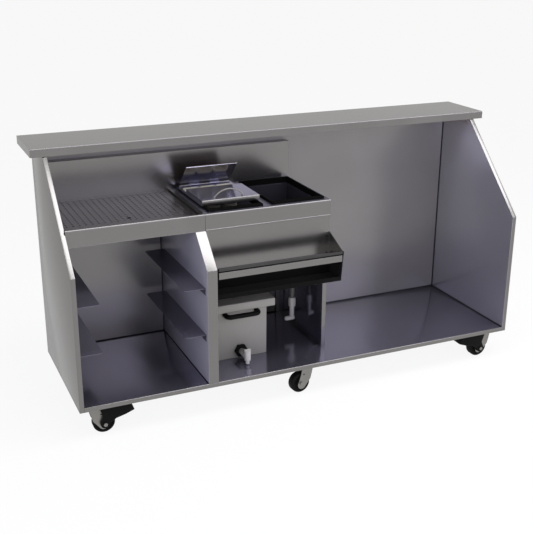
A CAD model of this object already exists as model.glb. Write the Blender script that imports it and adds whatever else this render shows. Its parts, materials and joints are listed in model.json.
"""Looks of the mobile bar unit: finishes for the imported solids, finer pieces and the stage."""

import json
import math

import bmesh
import bpy
from mathutils import Matrix, Vector

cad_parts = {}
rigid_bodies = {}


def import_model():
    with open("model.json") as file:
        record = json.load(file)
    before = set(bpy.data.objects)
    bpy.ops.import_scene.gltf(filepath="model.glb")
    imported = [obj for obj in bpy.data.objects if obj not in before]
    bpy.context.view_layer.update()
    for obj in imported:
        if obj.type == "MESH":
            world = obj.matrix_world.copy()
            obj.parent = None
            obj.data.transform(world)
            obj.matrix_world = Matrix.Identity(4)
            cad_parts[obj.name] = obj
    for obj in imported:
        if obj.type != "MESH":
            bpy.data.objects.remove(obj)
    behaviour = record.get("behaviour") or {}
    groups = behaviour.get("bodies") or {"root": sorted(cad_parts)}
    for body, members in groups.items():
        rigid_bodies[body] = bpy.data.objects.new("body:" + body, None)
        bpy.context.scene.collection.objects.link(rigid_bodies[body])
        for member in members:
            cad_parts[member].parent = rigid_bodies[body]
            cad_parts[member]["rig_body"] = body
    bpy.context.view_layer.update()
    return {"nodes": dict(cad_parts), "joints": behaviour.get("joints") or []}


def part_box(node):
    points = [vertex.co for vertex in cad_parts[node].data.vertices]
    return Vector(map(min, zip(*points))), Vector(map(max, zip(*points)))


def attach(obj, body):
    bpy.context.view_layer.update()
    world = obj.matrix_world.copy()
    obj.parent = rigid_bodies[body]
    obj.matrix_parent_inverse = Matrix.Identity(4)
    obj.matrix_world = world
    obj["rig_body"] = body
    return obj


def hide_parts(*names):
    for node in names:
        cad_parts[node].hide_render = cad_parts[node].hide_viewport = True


bl_info = {
    "name": "Mobile Bar Unit",
    "version": (1, 0, 0),
    "blender": (4, 5, 0),
    "location": "View3D > Sidebar > Bar Unit",
    "description": "Dresses the solids of a stainless mobile bar unit and sets its stage",
    "category": "Object",
}

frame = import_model()
MM = 0.001
UP, LEFT, FRONT = Vector((0, 0, 1)), Vector((-1, 0, 0)), Vector((0, -1, 0))
# Least cosine between up and the normal of a level face.
LEVEL = 0.95
CASTERS = ("front_left", "front_centre", "front_right", "rear_left", "rear_centre", "rear_right")
BRAKED_CASTERS = ("front_left", "front_right")
# Pitch and length of the belt's lines as they are drawn, and the size of the smears on satin sheet.
LINE_PITCH, LINE_LENGTH, SMEAR_SIZE = 2 * MM, 200 * MM, 180 * MM
# Tint of the steel's mirror image at grazing angles.
GRAZING_TINT = (0.75, 0.75, 0.75, 1)
# Size of the faint clouds in a moulded colour.
CLOUD_SIZE = 70 * MM
# Shading breaks above the first angle, edges are rounded above the second, and below the third faces are one.
SHARP_ANGLE, ROUNDED_ANGLE, FLAT_ANGLE = math.radians(32), math.radians(40), math.radians(0.5)
# Points closer than this are one.
WELD = 0.002 * MM


def linear(hex_colour):
    """Linear RGBA of an sRGB hex colour."""
    channels = [int(hex_colour[i:i + 2], 16) / 255 for i in (1, 3, 5)]
    return tuple(c / 12.92 if c <= 0.04045 else ((c + 0.055) / 1.055) ** 2.4 for c in channels) + (1.0,)


def shade(colour, share):
    """A linear colour made darker or lighter."""
    return tuple(min(1.0, c * share) for c in colour[:3]) + (1.0,)


def add_node(tree, kind, inputs=None, **settings):
    """Adds a node with its settings; each input takes a value or the socket that feeds it."""
    made = tree.nodes.new(kind)
    for key, value in settings.items():
        setattr(made, key, value)
    for key, value in (inputs or {}).items():
        if isinstance(value, bpy.types.NodeSocket):
            tree.links.new(value, made.inputs[key])
        else:
            made.inputs[key].default_value = value
    return made


def blank_tree(material):
    """The emptied node tree of a new material or world."""
    material.use_nodes = True
    material.node_tree.nodes.clear()
    return material.node_tree


def satin_stainless(name, colour, grain, rough, haze, edge_mm=1.0):
    """Stainless sheet ground with a belt: fine lines along one axis, soft mirror images, faint smears.

    The belt leaves lines about 0.1 mm apart; they are drawn 2 mm apart so that they show. Haze is the share
    of light that the ground surface scatters widely instead of mirroring it.
    """
    tree = blank_tree(bpy.data.materials.new(name))
    place = add_node(tree, "ShaderNodeTexCoord").outputs["Object"]
    stretch = add_node(tree, "ShaderNodeMapping", {
        "Vector": place, "Scale": [1 / (LINE_LENGTH if axis == grain else LINE_PITCH) for axis in "XYZ"]})
    lines = add_node(tree, "ShaderNodeTexNoise", {
        "Vector": stretch.outputs["Vector"], "Scale": 1.0, "Detail": 3.0}).outputs["Fac"]
    smears = add_node(tree, "ShaderNodeTexNoise", {
        "Vector": place, "Scale": 1 / SMEAR_SIZE, "Detail": 4.0, "Distortion": 0.6}).outputs["Fac"]
    tone = add_node(tree, "ShaderNodeMix", {
        0: smears, 6: shade(colour, 0.93), 7: shade(colour, 1.07)}, data_type="RGBA")
    worn = add_node(tree, "ShaderNodeMath", {0: lines, 1: 0.5, 2: smears}, operation="MULTIPLY_ADD")
    gloss = add_node(tree, "ShaderNodeMapRange", {
        "Value": worn.outputs["Value"], "From Min": 0.4, "From Max": 1.1, "To Min": rough - 0.02,
        "To Max": rough + 0.03})
    folded = add_node(tree, "ShaderNodeBevel", {"Radius": edge_mm * MM}, samples=6)
    relief = add_node(tree, "ShaderNodeBump", {
        "Height": lines, "Normal": folded.outputs["Normal"], "Strength": 0.01, "Distance": 0.05 * MM})
    sheet = add_node(tree, "ShaderNodeBsdfPrincipled", {
        "Base Color": tone.outputs[2], "Metallic": 1.0 - haze, "Roughness": gloss.outputs["Result"],
        "Specular Tint": GRAZING_TINT, "Normal": relief.outputs["Normal"]})
    add_node(tree, "ShaderNodeOutputMaterial", {"Surface": sheet.outputs["BSDF"]})


def moulded(name, colour, rough, grit_mm, relief=0.15, drift=0.06, metallic=0.0, shine=0.5):
    """A moulded, cast or plated surface: an even colour with faint drift, and the fine grit of its making.

    The real grit is under 0.5 mm; it is drawn a few millimetres wide so that it shows.
    """
    tree = blank_tree(bpy.data.materials.new(name))
    place = add_node(tree, "ShaderNodeTexCoord").outputs["Object"]
    grit = add_node(tree, "ShaderNodeTexNoise", {
        "Vector": place, "Scale": 1 / (grit_mm * MM), "Detail": 2.0}).outputs["Fac"]
    clouds = add_node(tree, "ShaderNodeTexNoise", {
        "Vector": place, "Scale": 1 / CLOUD_SIZE, "Detail": 3.0}).outputs["Fac"]
    tone = add_node(tree, "ShaderNodeMix", {
        0: clouds, 6: shade(colour, 1 - drift), 7: shade(colour, 1 + drift)}, data_type="RGBA")
    gloss = add_node(tree, "ShaderNodeMapRange", {
        "Value": grit, "From Min": 0.25, "From Max": 0.75, "To Min": rough - 0.07, "To Max": rough + 0.07})
    pits = add_node(tree, "ShaderNodeBump", {"Height": grit, "Strength": relief, "Distance": 0.1 * MM})
    body = add_node(tree, "ShaderNodeBsdfPrincipled", {
        "Base Color": tone.outputs[2], "Metallic": metallic, "Roughness": gloss.outputs["Result"],
        "Specular IOR Level": shine, "Normal": pits.outputs["Normal"]})
    add_node(tree, "ShaderNodeOutputMaterial", {"Surface": body.outputs["BSDF"]})


# Each finish has its maker, the name and share of its colour, and the maker's settings.
FINISHES = {
    # Satin stainless of the fronts and the work surface: mid grey metal that mirrors softly along its grain.
    "satin_stainless_front": (satin_stainless, "steel", 1.0, "X", 0.22, 0.04),
    "satin_stainless_tall": (satin_stainless, "steel", 1.0, "Z", 0.22, 0.04),
    # Hazier satin stainless of the back panel, the bays' walls, the slides and the bin: it scatters light.
    "hazy_stainless_long": (satin_stainless, "steel", 1.15, "X", 0.24, 0.42),
    "hazy_stainless_wall": (satin_stainless, "wall", 1.2, "Z", 0.24, 0.6),
    "hazy_stainless_end": (satin_stainless, "wall", 1.2, "Z", 0.24, 0.25),
    "hazy_stainless_deep": (satin_stainless, "slide", 1.0, "Y", 0.24, 0.4),
    "hazy_stainless_liner": (satin_stainless, "slide", 0.5, "Z", 0.24, 0.4),
    # Brighter stainless on top of the deck and beside the drain: it mirrors what stands in the bays.
    "bright_stainless_deck": (satin_stainless, "deck", 1.0, "X", 0.16, 0.12),
    "bright_stainless_side": (satin_stainless, "deck", 1.0, "Z", 0.14, 0.06),
    # Dark satin stainless of the rail's top lip.
    "dark_satin_stainless": (satin_stainless, "lip", 1.0, "X", 0.3, 0.08),
    # Polished stainless of the tray and its lid: brighter, with a sharper mirror than the cabinet.
    "polished_stainless": (satin_stainless, "lid", 1.0, "X", 0.17, 0.04, 0.6),
    "brushed_tray_steel": (satin_stainless, "tray", 1.0, "X", 0.14, 0.1, 0.6),
    # Sheared edges, ground seams and the sheet below the insert: dull, stained and dark.
    "sheared_stainless": (moulded, "sheared", 1.0, 0.6, 2.0, 0.2, 0.1, 1.0),
    # Zinc-plated pressed steel of the casters: pale, dull and slightly cloudy.
    "zinc_plated_steel": (moulded, "zinc", 1.0, 0.36, 3.0, 0.08, 0.1, 1.0),
    # Blackened steel of the screws: dark with a slight shine.
    "blackened_steel": (moulded, "screw", 1.0, 0.4, 1.5, 0.1, 0.1, 1.0),
    # Closed-cell rubber of the collars: black, without shine.
    "black_sponge_rubber": (moulded, "black", 1.0, 0.7, 2.5, 0.2, 0.08, 0.0, 0.0),
    # Matt ABS of the rail: black, with little shine.
    "black_abs": (moulded, "black", 1.0, 0.42, 2.5, 0.12, 0.06, 0.0, 0.04),
    # Glass-filled nylon of the pedals, hubs and grips: black and rougher.
    "black_nylon": (moulded, "black", 1.0, 0.5, 2.0, 0.25, 0.06, 0.0, 0.06),
    # Moulded rubber of the tyres: nearly black and dull.
    "black_rubber": (moulded, "tyre", 1.0, 0.6, 3.0, 0.3, 0.12, 0.0, 0.1),
    # Polyethylene of the tank: grey with a waxy, broad sheen.
    "grey_polyethylene": (moulded, "tank", 1.0, 0.45, 4.0, 0.12, 0.04),
    # Acetal of the tap and the drain: white and smooth.
    "white_acetal": (moulded, "white", 1.0, 0.33, 2.5, 0.05, 0.04),
    # Extruded PVC of the drain pipe: grey and smooth.
    "grey_pvc": (moulded, "pipe", 1.0, 0.4, 2.5, 0.08),
    # Polypropylene of the cups: warm pale, waxy.
    "beige_polypropylene": (moulded, "cup", 1.0, 0.35, 2.5, 0.08, 0.04),
    # Vinyl coat of the wire handle: warm grey with a slight shine.
    "grey_vinyl": (moulded, "wire", 1.0, 0.35, 2.0, 0.05, 0.04),
    # Birch board inside the bar top and foam around the ice bin, seen only when the unit is taken apart.
    "birch_board": (moulded, "board", 1.0, 0.6, 6.0, 0.3, 0.15),
    "rigid_foam": (moulded, "foam", 1.0, 0.8, 3.0, 0.5, 0.1),
}


def finish(name):
    """The named finish, made from the scene's colours when it is first used."""
    if name not in bpy.data.materials:
        maker, colour, share, *settings = FINISHES[name]
        maker(name, shade(getattr(bpy.context.scene.bar_colours, colour), share), *settings)
    return bpy.data.materials[name]


def dress(name, *nodes):
    """Gives CAD nodes a finish."""
    for each in nodes:
        shown = frame["nodes"][each]
        shown.data.materials.clear()
        shown.data.materials.append(finish(name))


def show(name, form, finish_name, body, *nodes):
    """Makes a piece of a form, dresses it, and lets it ride on a body in place of CAD nodes."""
    mesh = bpy.data.meshes.new(name)
    bmesh.ops.recalc_face_normals(form, faces=form.faces)
    form.to_mesh(mesh)
    form.free()
    mesh.polygons.foreach_set("use_smooth", [True] * len(mesh.polygons))
    mesh.set_sharp_from_angle(angle=SHARP_ANGLE)
    mesh.materials.append(finish(finish_name))
    piece = bpy.data.objects.new(name, mesh)
    bpy.context.scene.collection.objects.link(piece)
    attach(piece, body)
    if nodes:
        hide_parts(*nodes)
    return piece


def copied(node, finish_name):
    """A CAD node's form as a piece of its own, whose faces can take a second finish."""
    form = bmesh.new()
    form.from_mesh(frame["nodes"][node].data)
    return show(f"{node}_sheet", form, finish_name, frame["nodes"][node]["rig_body"], node)


def face_finish(piece, name, direction, least=0.7, below=math.inf):
    """Gives a second finish to the faces of a piece that point in a direction and lie below a height."""
    slot = len(piece.data.materials)
    piece.data.materials.append(finish(name))
    for face in piece.data.polygons:
        if face.normal.dot(direction) > least and face.center.z < below:
            face.material_index = slot


def eased(node, radius):
    """A node's form with its outer edges rounded."""
    form = bmesh.new()
    form.from_mesh(frame["nodes"][node].data)
    bmesh.ops.remove_doubles(form, verts=form.verts, dist=WELD)
    bmesh.ops.dissolve_limit(form, angle_limit=FLAT_ANGLE, verts=form.verts, edges=form.edges)
    sharp = [e for e in form.edges if len(e.link_faces) == 2 and e.is_convex
             and e.calc_face_angle() > ROUNDED_ANGLE]
    bmesh.ops.bevel(form, geom=sharp, offset=radius, offset_type="OFFSET", segments=3, profile=0.5,
                    affect="EDGES", clamp_overlap=True)
    return form


def ease(finish_name, radius, *nodes):
    """Shows CAD nodes with rounded edges."""
    return [show(f"{each}_eased", eased(each, radius), finish_name, frame["nodes"][each]["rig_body"], each)
            for each in nodes]


def turned(profile, centre, axis, steps=64):
    """A turned form: a closed profile of radius and height in mm, around an axis through a centre."""
    form = bmesh.new()
    verts = [form.verts.new((radius * MM, 0, height * MM)) for radius, height in profile]
    edges = [form.edges.new((a, b)) for a, b in zip(verts, verts[1:] + verts[:1])]
    bmesh.ops.spin(form, geom=verts + edges, axis=(0, 0, 1), cent=(0, 0, 0), angle=math.tau, steps=steps,
                   use_merge=True)
    bmesh.ops.remove_doubles(form, verts=form.verts, dist=WELD)
    upright = Vector(axis).normalized().to_track_quat("Z", "Y").to_matrix().to_4x4()
    bmesh.ops.transform(form, matrix=Matrix.Translation(centre) @ upright, verts=form.verts)
    return form


def add_block(form, size, place):
    """Adds a block with softened edges to a form; size in mm, place a matrix."""
    made = bmesh.ops.create_cube(form, size=1.0, matrix=place @ Matrix.Diagonal((*(s * MM for s in size), 1)))
    edges = list({e for v in made["verts"] for e in v.link_edges})
    softness = 0.3 * min(size) * MM
    bmesh.ops.bevel(form, geom=edges, offset=softness, offset_type="OFFSET", segments=2, profile=0.5,
                    affect="EDGES", clamp_overlap=True)


def add_ridges(form, centre, reach, size, count):
    """Adds upright grip ridges around the upright axis through a centre; size in mm."""
    for i in range(count):
        turn = Matrix.Rotation(math.tau * i / count, 4, "Z")
        add_block(form, size, Matrix.Translation(centre) @ turn @ Matrix.Translation((reach, 0, 0)))


def close_prism(form, ends):
    """Adds the faces between two rings of points and over both of them."""
    for ring in ends:
        form.faces.new(ring)
    for i in range(len(ends[0])):
        form.faces.new((ends[0][i - 1], ends[0][i], ends[1][i], ends[1][i - 1]))


def arc(centre, radius, start, end, count=6):
    """Points of an arc in a profile, with angles in degrees."""
    return [(centre[0] + radius * math.cos(math.radians(a)), centre[1] + radius * math.sin(math.radians(a)))
            for a in (start + (end - start) * i / count for i in range(count + 1))]


class BarColours(bpy.types.PropertyGroup):
    """Colours of the unit's materials."""

    steel: bpy.props.FloatVectorProperty(
        name="Steel", description="Satin stainless sheet of the cabinet",
        subtype="COLOR", size=4, min=0, max=1, default=linear("#7D7B79"))
    wall: bpy.props.FloatVectorProperty(
        name="Bay walls", description="Hazy stainless on the walls that face the left",
        subtype="COLOR", size=4, min=0, max=1, default=linear("#A5A4AC"))
    slide: bpy.props.FloatVectorProperty(
        name="Slides", description="Hazy stainless of the rack slides, the bin's rims and its liner",
        subtype="COLOR", size=4, min=0, max=1, default=linear("#6E6C77"))
    deck: bpy.props.FloatVectorProperty(
        name="Deck", description="Bright stainless on top of the deck and beside the drain",
        subtype="COLOR", size=4, min=0, max=1, default=linear("#9694A2"))
    lip: bpy.props.FloatVectorProperty(
        name="Rail lip", description="Dark satin stainless of the rail's top lip",
        subtype="COLOR", size=4, min=0, max=1, default=linear("#494847"))
    tray: bpy.props.FloatVectorProperty(
        name="Tray", description="Polished stainless of the condiment tray",
        subtype="COLOR", size=4, min=0, max=1, default=linear("#B8B7C5"))
    lid: bpy.props.FloatVectorProperty(
        name="Tray lid", description="Polished stainless of the tray's lid",
        subtype="COLOR", size=4, min=0, max=1, default=linear("#9594A0"))
    wire: bpy.props.FloatVectorProperty(
        name="Tray handle", description="Plastic coat of the tray's wire handle",
        subtype="COLOR", size=4, min=0, max=1, default=linear("#75726A"))
    sheared: bpy.props.FloatVectorProperty(
        name="Sheared edges", description="Hole walls and hidden side of the insert, and the seams",
        subtype="COLOR", size=4, min=0, max=1, default=linear("#262628"))
    zinc: bpy.props.FloatVectorProperty(
        name="Zinc", description="Plated steel of the casters",
        subtype="COLOR", size=4, min=0, max=1, default=linear("#85837F"))
    screw: bpy.props.FloatVectorProperty(
        name="Screws", description="Blackened steel of the rail's screws",
        subtype="COLOR", size=4, min=0, max=1, default=linear("#33322F"))
    black: bpy.props.FloatVectorProperty(
        name="Black plastic", description="Collars, rail, pedals and grips",
        subtype="COLOR", size=4, min=0, max=1, default=linear("#111110"))
    tyre: bpy.props.FloatVectorProperty(
        name="Tyres", description="Rubber of the wheels",
        subtype="COLOR", size=4, min=0, max=1, default=linear("#0E0E0D"))
    tank: bpy.props.FloatVectorProperty(
        name="Tank", description="Polyethylene of the waste tank",
        subtype="COLOR", size=4, min=0, max=1, default=linear("#97958B"))
    white: bpy.props.FloatVectorProperty(
        name="White plastic", description="Tap, coupling and drain handle",
        subtype="COLOR", size=4, min=0, max=1, default=linear("#C4C2BB"))
    pipe: bpy.props.FloatVectorProperty(
        name="Pipe", description="Drain pipe of the ice bin",
        subtype="COLOR", size=4, min=0, max=1, default=linear("#5E5D58"))
    cup: bpy.props.FloatVectorProperty(
        name="Cups", description="Condiment cups of the tray",
        subtype="COLOR", size=4, min=0, max=1, default=linear("#CDC8B4"))
    board: bpy.props.FloatVectorProperty(
        name="Board", description="Core of the bar top",
        subtype="COLOR", size=4, min=0, max=1, default=linear("#BE9A69"))
    foam: bpy.props.FloatVectorProperty(
        name="Foam", description="Insulation of the ice bin",
        subtype="COLOR", size=4, min=0, max=1, default=linear("#DDD29E"))


class BarSizes(bpy.types.PropertyGroup):
    """Sizes of the finer details."""

    sheet_edge: bpy.props.FloatProperty(
        name="Sheet edge", description="Rounding of folded sheet edges",
        default=0.0012, unit="LENGTH")
    plastic_edge: bpy.props.FloatProperty(
        name="Plastic edge", description="Rounding of moulded edges",
        default=0.0015, unit="LENGTH")
    tank_edge: bpy.props.FloatProperty(
        name="Tank edge", description="Rounding of the tank's edges",
        default=0.005, unit="LENGTH")
    grip_swell: bpy.props.FloatProperty(
        name="Grip swell", description="Soft coat on the tank's carry handle",
        default=0.0015, unit="LENGTH")
    seam: bpy.props.FloatProperty(
        name="Seam", description="Radius of the ground seams in the bays' corners",
        default=0.0035, unit="LENGTH")
    tray_roll: bpy.props.FloatProperty(
        name="Tray roll", description="Radius of the rolled edges of the tray's front",
        default=0.004, unit="LENGTH")
    tread_rib: bpy.props.FloatProperty(
        name="Tread rib", description="Height of the ribs on a brake pedal's tread",
        default=0.0014, unit="LENGTH")
    tread_ribs: bpy.props.IntProperty(
        name="Tread ribs", description="Ribs on a brake pedal's tread", default=5, min=0)
    hub_spokes: bpy.props.IntProperty(
        name="Hub spokes", description="Ribs between a wheel's hub and its rim", default=6, min=0)
    knob_ridges: bpy.props.IntProperty(
        name="Knob ridges", description="Grip ridges around the tap's knob and the drain's coupling",
        default=16, min=0)


class BarStage(bpy.types.PropertyGroup):
    """Camera and light of the stage."""

    camera_place: bpy.props.FloatVectorProperty(
        name="Camera place", description="Where the camera stands", subtype="TRANSLATION", unit="LENGTH",
        default=(-1.6224, -3.4867, 1.8769))
    camera_azimuth: bpy.props.FloatProperty(
        name="Camera azimuth", description="Direction of the camera around the unit", subtype="ANGLE",
        default=math.radians(-23.95))
    camera_elevation: bpy.props.FloatProperty(
        name="Camera elevation", description="How far the camera looks down", subtype="ANGLE",
        default=math.radians(20.07))
    camera_roll: bpy.props.FloatProperty(
        name="Camera roll", description="Turn of the camera about its view", subtype="ANGLE",
        default=math.radians(0.29))
    lens: bpy.props.FloatProperty(
        name="Lens", description="Focal length for a 36 mm sensor", default=62.35, unit="CAMERA")
    overhead_light: bpy.props.FloatProperty(
        name="Overhead light", description="Brightness of the softbox overhead, with white at 1", default=5.0)
    front_light: bpy.props.FloatProperty(
        name="Front light", description="Brightness of the softbox in front, with white at 1", default=2.2)
    left_light: bpy.props.FloatProperty(
        name="Left light", description="Brightness of the softbox at the left, with white at 1", default=3.0)
    ambient: bpy.props.FloatProperty(
        name="Ambient", description="Strength of the surrounding light on dull surfaces", default=0.4)


class BAR_OT_cabinet(bpy.types.Operator):
    """Shows the panels, the deck, the bar top and the rack slides, with ground seams in the bays"""

    bl_idname = "bar.cabinet"
    bl_label = "Cabinet"

    def execute(self, context):
        sizes = context.scene.bar_sizes
        dress("satin_stainless_front", "bar_top", "backsplash")
        dress("hazy_stainless_long", "back_panel")
        for deck in ease("satin_stainless_front", 0.3 * sizes.sheet_edge, "base_deck"):
            face_finish(deck, "bright_stainless_deck", UP, LEVEL)
        ease("satin_stainless_tall", sizes.sheet_edge, "left_end_panel")
        inner_finishes = {"right_end_panel": "hazy_stainless_end", "centre_divider": "hazy_stainless_wall"}
        for node, inner_finish in inner_finishes.items():
            for wall in ease("satin_stainless_tall", sizes.sheet_edge, node):
                face_finish(wall, inner_finish, LEFT)
        dress("hazy_stainless_deep", "rack_slides_left", "rack_slides_right")
        dress("zinc_plated_steel", "deck_channels")
        dress("birch_board", "bar_top_core")
        self.seams(sizes.seam)
        return {"FINISHED"}

    def seams(self, radius):
        """Ground seams in the corners of the bays, each a small cove along the joint of two sheets."""
        form = bmesh.new()
        front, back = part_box("base_deck")[0].y + radius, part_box("back_panel")[0].y
        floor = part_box("base_deck")[1].z
        left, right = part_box("left_end_panel")[1].x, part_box("right_end_panel")[0].x
        divider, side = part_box("centre_divider"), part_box("bin_side_panel")
        ceiling = {"rack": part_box("drainboard_pan")[0].z, "bin": side[1].z, "open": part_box("bar_top")[0].z}
        for bay, start, end in (("rack", left, divider[0].x), ("bin", divider[1].x, side[0].x),
                                ("open", side[1].x, right)):
            corner = Vector((end, back, floor))
            self.cove(form, Vector((start, back, floor)), corner, FRONT, UP, radius)
            self.cove(form, corner, Vector((end, back, ceiling[bay])), FRONT, LEFT, radius)
        for wall in (divider[0].x, right):
            self.cove(form, Vector((wall, front, floor)), Vector((wall, back, floor)), LEFT, UP, radius)
        show("bay_seams", form, "sheared_stainless", "cabinet")

    def cove(self, form, start, end, along_one, along_other, radius):
        """Adds a cove between two sheets that meet in a line and run away from it in two directions."""
        sunk = 0.3 * MM
        section = [(-sunk, -sunk), (radius, -sunk), *arc((radius, radius), radius, 270, 180), (-sunk, radius)]
        ends = [[form.verts.new(corner + one * along_one + other * along_other) for one, other in section]
                for corner in (start, end)]
        close_prism(form, ends)


class BAR_OT_work_surface(bpy.types.Operator):
    """Shows the drainboard and the ice bin"""

    bl_idname = "bar.work_surface"
    bl_label = "Work surface"

    def execute(self, context):
        sizes = context.scene.bar_sizes
        dress("satin_stainless_front", "bin_casing")
        # The pan's floor lies under the insert and is stained.
        face_finish(copied("drainboard_pan", "satin_stainless_front"), "sheared_stainless", UP, LEVEL,
                    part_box("drainboard_insert")[0].z + MM)
        face_finish(copied("bin_top", "satin_stainless_front"), "hazy_stainless_deep", UP, LEVEL)
        dress("hazy_stainless_liner", "bin_liner")
        for wall in ease("satin_stainless_tall", sizes.sheet_edge, "bin_side_panel"):
            face_finish(wall, "bright_stainless_side", LEFT)
        # The insert is dark in its holes and underneath, and satin on top.
        face_finish(copied("drainboard_insert", "sheared_stainless"), "satin_stainless_front", UP)
        ease("black_sponge_rubber", sizes.plastic_edge, "bin_collar_left", "bin_collar_right")
        dress("rigid_foam", "bin_foam")
        return {"FINISHED"}


class BAR_OT_drain(bpy.types.Operator):
    """Shows the ice bin's drain, with grip ridges on its coupling"""

    bl_idname = "bar.drain"
    bl_label = "Drain"

    def execute(self, context):
        sizes = context.scene.bar_sizes
        dress("grey_pvc", "drain_pipe")
        dress("white_acetal", "drain_valve", "drain_handle")
        coupling = eased("drain_coupling", sizes.plastic_edge)
        low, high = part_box("drain_coupling")
        middle, reach = (low + high) / 2, (high.x - low.x) / 2
        ridge, sunk = (1.6, 2.0, 0.62 * (high.z - low.z) / MM), 0.3 * MM
        add_ridges(coupling, middle, reach - sunk, ridge, sizes.knob_ridges)
        show("drain_coupling_ridged", coupling, "white_acetal", "cabinet", "drain_coupling")
        return {"FINISHED"}


class BAR_OT_speed_rail(bpy.types.Operator):
    """Shows the speed rail and its screws"""

    bl_idname = "bar.speed_rail"
    bl_label = "Speed rail"

    def execute(self, context):
        sizes = context.scene.bar_sizes
        ease("black_abs", 0.6 * sizes.plastic_edge, "rail_trough", "rail_edging")
        dress("satin_stainless_front", "rail_bar", "rail_left_end", "rail_right_end")
        dress("dark_satin_stainless", "rail_top_lip")
        ease("blackened_steel", 0.5 * sizes.plastic_edge, "rail_screws")
        return {"FINISHED"}


class BAR_OT_tank(bpy.types.Operator):
    """Shows the waste tank with its handle, nut and tap"""

    bl_idname = "bar.tank"
    bl_label = "Waste tank"

    def execute(self, context):
        sizes = context.scene.bar_sizes
        ease("grey_polyethylene", sizes.tank_edge, "tank_body")
        ease("grey_polyethylene", 0.6 * sizes.tank_edge, "tank_lid")
        ease("black_nylon", sizes.plastic_edge, "tank_nut")
        grip = eased("tank_handle", sizes.plastic_edge)
        grip.normal_update()
        for vert in grip.verts:
            vert.co += sizes.grip_swell * vert.normal
        show("tank_handle_eased", grip, "black_nylon", "tank", "tank_handle")
        ease("white_acetal", 0.6 * sizes.plastic_edge, "tap_body")
        knob = eased("tap_knob", 0.6 * sizes.plastic_edge)
        low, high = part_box("tap_knob")
        middle, reach = (low + high) / 2, (high.x - low.x) / 2
        # The ridges lie below the knob's top edge.
        ridge, sunk, drop = (1.2, 1.8, 8), 0.2 * MM, 10.5 * MM
        add_ridges(knob, Vector((middle.x, middle.y, high.z - drop)), reach - sunk, ridge, sizes.knob_ridges)
        show("tap_knob_ridged", knob, "white_acetal", "tank_tap", "tap_knob")
        return {"FINISHED"}


class BAR_OT_tray(bpy.types.Operator):
    """Shows the condiment tray, its cups, its lid and its handle"""

    bl_idname = "bar.tray"
    bl_label = "Condiment tray"

    def execute(self, context):
        sizes = context.scene.bar_sizes
        self.tray(sizes)
        ease("polished_stainless", 0.5 * sizes.sheet_edge, "condiment_lid")
        dress("polished_stainless", "lid_hinge_pin")
        ease("beige_polypropylene", 0.4 * sizes.plastic_edge, "condiment_cup_1", "condiment_cup_2",
             "condiment_cup_3")
        dress("grey_vinyl", "tray_handle")
        return {"FINISHED"}

    def tray(self, sizes):
        """The tray with rolled edges along the front of its raised deck."""
        form = bmesh.new()
        form.from_mesh(frame["nodes"]["condiment_tray"].data)
        low, high = (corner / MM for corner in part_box("condiment_tray"))
        radius = sizes.tray_roll / MM
        profile = [*arc((low.y, high.z - radius), radius, 90, 180),
                   *arc((low.y, low.z + radius), radius, 180, 270)]
        ends = [[form.verts.new((x * MM, y * MM, z * MM)) for y, z in profile] for x in (low.x, high.x)]
        close_prism(form, ends)
        tray = show("condiment_tray_rolled", form, "brushed_tray_steel", "tray", "condiment_tray")
        # The front finish reaches around the rolled edges.
        face_finish(tray, "satin_stainless_front", FRONT, 0.3)
        face_finish(tray, "hazy_stainless_deep", LEFT)


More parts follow.
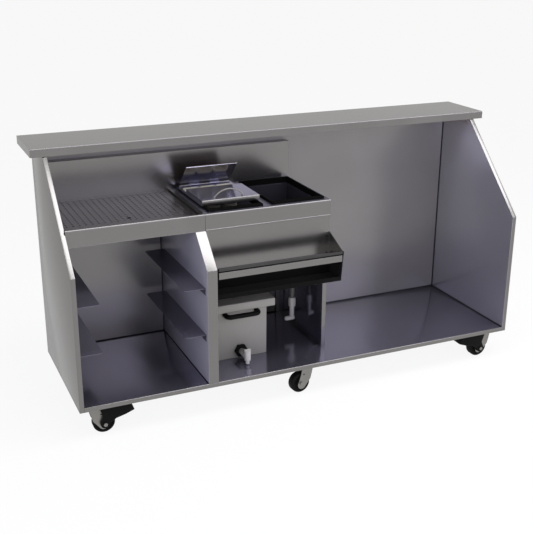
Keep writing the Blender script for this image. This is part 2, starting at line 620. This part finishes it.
class BAR_OT_casters(bpy.types.Operator):
    """Shows the casters with rubber tyres, spoked hubs and ribbed brake pedals"""

    bl_idname = "bar.casters"
    bl_label = "Casters"

    def execute(self, context):
        sizes = context.scene.bar_sizes
        dress("zinc_plated_steel", "caster_plates", *(f"caster_fork_{c}" for c in CASTERS))
        axes = {joint["name"]: joint["axis"] for joint in frame["joints"]}
        for caster in CASTERS:
            self.wheel(caster, axes[f"spin_{caster}"], sizes)
        for caster in BRAKED_CASTERS:
            self.pedal(f"brake_pedal_{caster}", axes[f"brake_{caster}"], sizes)
        return {"FINISHED"}

    def wheel(self, caster, axis, sizes):
        """A tyre with a rounded tread and a sidewall step, around a hub with spokes on both faces."""
        node, body = f"caster_wheel_{caster}", f"wheel_{caster}"
        low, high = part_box(node)
        centre = (low + high) / 2
        # Half profiles: radius and height above the wheel's middle, in mm.
        tyre = [(31, 0), (31, 13), (34, 13), (35.2, 15.6), *arc((39, 11), 6, 112, 8), (45, 4), (44.2, 3),
                (44.2, 0)]
        show(f"tyre_{caster}", turned(self.mirrored(tyre), centre, axis), "black_rubber", body, node)
        half = [(5.2, 0), (5.2, 16.4), (5.8, 17), (19, 17), (20, 16), (20, 11), (29, 11), (29, 13), (31, 13)]
        hub = turned(self.mirrored(half), centre, axis, 48)
        upright = Vector(axis).normalized().to_track_quat("Z", "Y").to_matrix().to_4x4()
        spoke, reach, height = (10, 3, 3), 24.5 * MM, 11.8 * MM
        for side in (-1, 1):
            for i in range(sizes.hub_spokes):
                turn = Matrix.Rotation(math.tau * i / sizes.hub_spokes, 4, "Z")
                add_block(hub, spoke, Matrix.Translation(centre) @ upright @ turn
                          @ Matrix.Translation((reach, 0, side * height)))
        show(f"hub_{caster}", hub, "black_nylon", body)

    def mirrored(self, half):
        """A half profile with its mirror image below the middle."""
        return half + [(radius, -height) for radius, height in reversed(half) if height]

    def pedal(self, node, axis, sizes):
        """A pedal with eased edges and ribs across its tread, which lies at the end away from the axle."""
        form = eased(node, sizes.plastic_edge)
        low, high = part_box(node)
        along = Vector(axis).cross(UP)
        tip = high.x if along.x > 0 else low.x
        rib = (3, 0.78 * (high.y - low.y) / MM, 2 * sizes.tread_rib / MM)
        # The tread falls towards the pedal's tip, over its outer part.
        fall, sloped = 4 * MM, 55 * MM
        first_rib, rib_pitch = 14 * MM, 8 * MM
        for i in range(sizes.tread_ribs):
            reach = first_rib + rib_pitch * i
            drop = fall * max(0.0, 1 - reach / sloped)
            place = Vector((tip - math.copysign(reach, along.x), (low.y + high.y) / 2, high.z - drop))
            add_block(form, rib, Matrix.Translation(place))
        show(f"{node}_ribbed", form, "black_nylon", frame["nodes"][node]["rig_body"], node)


class BAR_OT_stage(bpy.types.Operator):
    """Adds the floor, the surrounding light, the softboxes and the camera"""

    bl_idname = "bar.stage"
    bl_label = "Stage"

    def execute(self, context):
        settings = context.scene.bar_stage
        self.floor()
        self.world(context.scene, settings)
        # The wide box overhead whitens slopes and rounded edges, the one in front fills the bays, and the one
        # at the left lights the walls that face it. Each has its place, its aim, its width and its height.
        self.softbox("overhead_softbox", (1.2, -1.0, 3.2), (1.2, -1.0, 0), 4.4, 1.4,
                     settings.overhead_light, "#FAFAFF")
        self.softbox("front_softbox", (1.7, -3.5, 1.85), (0.1, 0, 0.5), 4.6, 1.8,
                     settings.front_light, "#E2E1FF")
        self.softbox("left_softbox", (-3.3, -2.2, 1.5), (0.5, 0, 0.5), 2.6, 2.0,
                     settings.left_light, "#DEDDFF")
        self.camera(context.scene, settings)
        context.scene.view_settings.view_transform = "Standard"
        return {"FINISHED"}

    def background_share(self, tree):
        """One for rays that show the background, and zero for those that light dull surfaces."""
        path = add_node(tree, "ShaderNodeLightPath")
        first = add_node(tree, "ShaderNodeMath", {
            0: path.outputs["Is Camera Ray"], 1: path.outputs["Is Glossy Ray"]}, operation="MAXIMUM")
        both = add_node(tree, "ShaderNodeMath", {
            0: first.outputs["Value"], 1: path.outputs["Is Transmission Ray"]}, operation="MAXIMUM")
        return both.outputs["Value"]

    def floor(self):
        """White paper that shows as the background and keeps a faint shadow."""
        reach = 60.0
        mesh = bpy.data.meshes.new("studio_floor")
        mesh.from_pydata([(-reach, -reach, 0), (reach, -reach, 0), (reach, reach, 0), (-reach, reach, 0)], [],
                         [(0, 1, 2, 3)])
        floor = bpy.data.objects.new("studio_floor", mesh)
        bpy.context.scene.collection.objects.link(floor)
        material = bpy.data.materials.new("white_studio_paper")
        tree = blank_tree(material)
        paper = add_node(tree, "ShaderNodeBsdfDiffuse", {"Color": linear("#F4F4F2")})
        white = add_node(tree, "ShaderNodeEmission")
        most_white = 0.9
        share = add_node(tree, "ShaderNodeMath", {
            0: self.background_share(tree), 1: most_white}, operation="MULTIPLY")
        both = add_node(tree, "ShaderNodeMixShader", {
            0: share.outputs["Value"], 1: paper.outputs["BSDF"], 2: white.outputs["Emission"]})
        add_node(tree, "ShaderNodeOutputMaterial", {"Surface": both.outputs["Shader"]})
        mesh.materials.append(material)

    def world(self, scene, settings):
        """White surroundings that light dull surfaces less than they show."""
        scene.world = bpy.data.worlds.new("white_studio")
        tree = blank_tree(scene.world)
        level = add_node(tree, "ShaderNodeMapRange", {
            "Value": self.background_share(tree), "To Min": settings.ambient, "To Max": 1.0})
        light = add_node(tree, "ShaderNodeBackground", {
            "Color": linear("#FFFFFF"), "Strength": level.outputs["Result"]})
        add_node(tree, "ShaderNodeOutputWorld", {"Surface": light.outputs["Background"]})

    def softbox(self, name, place, target, width, height, brightness, colour):
        """A lamp whose face has a brightness, with white at 1."""
        lamp = bpy.data.lights.new(name, "AREA")
        lamp.shape = "RECTANGLE"
        lamp.size = width
        lamp.size_y = height
        lamp.energy = brightness * math.pi * width * height
        lamp.color = linear(colour)[:3]
        box = bpy.data.objects.new(name, lamp)
        aim = (Vector(target) - Vector(place)).to_track_quat("-Z", "Y")
        box.matrix_world = Matrix.Translation(place) @ aim.to_matrix().to_4x4()
        bpy.context.scene.collection.objects.link(box)

    def camera(self, scene, settings):
        """The camera that was fitted to the photo."""
        azimuth, elevation, roll = settings.camera_azimuth, settings.camera_elevation, settings.camera_roll
        back = Vector((math.sin(azimuth) * math.cos(elevation), -math.cos(azimuth) * math.cos(elevation),
                       math.sin(elevation)))
        right = (-back).cross(UP).normalized()
        up = right.cross(-back)
        side = math.cos(roll) * right + math.sin(roll) * up
        above = -math.sin(roll) * right + math.cos(roll) * up
        turn = Matrix((side, above, back)).transposed()
        lens = bpy.data.cameras.new("photo_view")
        lens.lens = settings.lens
        lens.sensor_width = 36.0
        camera = bpy.data.objects.new("photo_view", lens)
        camera.matrix_world = Matrix.Translation(settings.camera_place) @ turn.to_4x4()
        scene.collection.objects.link(camera)
        scene.camera = camera


class BAR_PT_sidebar(bpy.types.Panel):
    """Lists the steps that show the bar unit"""

    bl_idname = "BAR_PT_sidebar"
    bl_label = "Bar Unit"
    bl_space_type = "VIEW_3D"
    bl_region_type = "UI"
    bl_category = "Bar Unit"

    def draw(self, context):
        for step in STEPS:
            self.layout.operator(step.bl_idname)


STEPS = (BAR_OT_cabinet, BAR_OT_work_surface, BAR_OT_drain, BAR_OT_speed_rail, BAR_OT_tank, BAR_OT_tray,
         BAR_OT_casters, BAR_OT_stage)
GROUPS = {"bar_colours": BarColours, "bar_sizes": BarSizes, "bar_stage": BarStage}


def register():
    for each in (*GROUPS.values(), *STEPS, BAR_PT_sidebar):
        bpy.utils.register_class(each)
    for name, group in GROUPS.items():
        setattr(bpy.types.Scene, name, bpy.props.PointerProperty(type=group))


def unregister():
    for name in GROUPS:
        delattr(bpy.types.Scene, name)
    for each in (BAR_PT_sidebar, *reversed(STEPS), *GROUPS.values()):
        bpy.utils.unregister_class(each)


def main():
    register()
    for step in STEPS:
        group, name = step.bl_idname.split(".")
        getattr(getattr(bpy.ops, group), name)()


if __name__ == "__main__":
    main()
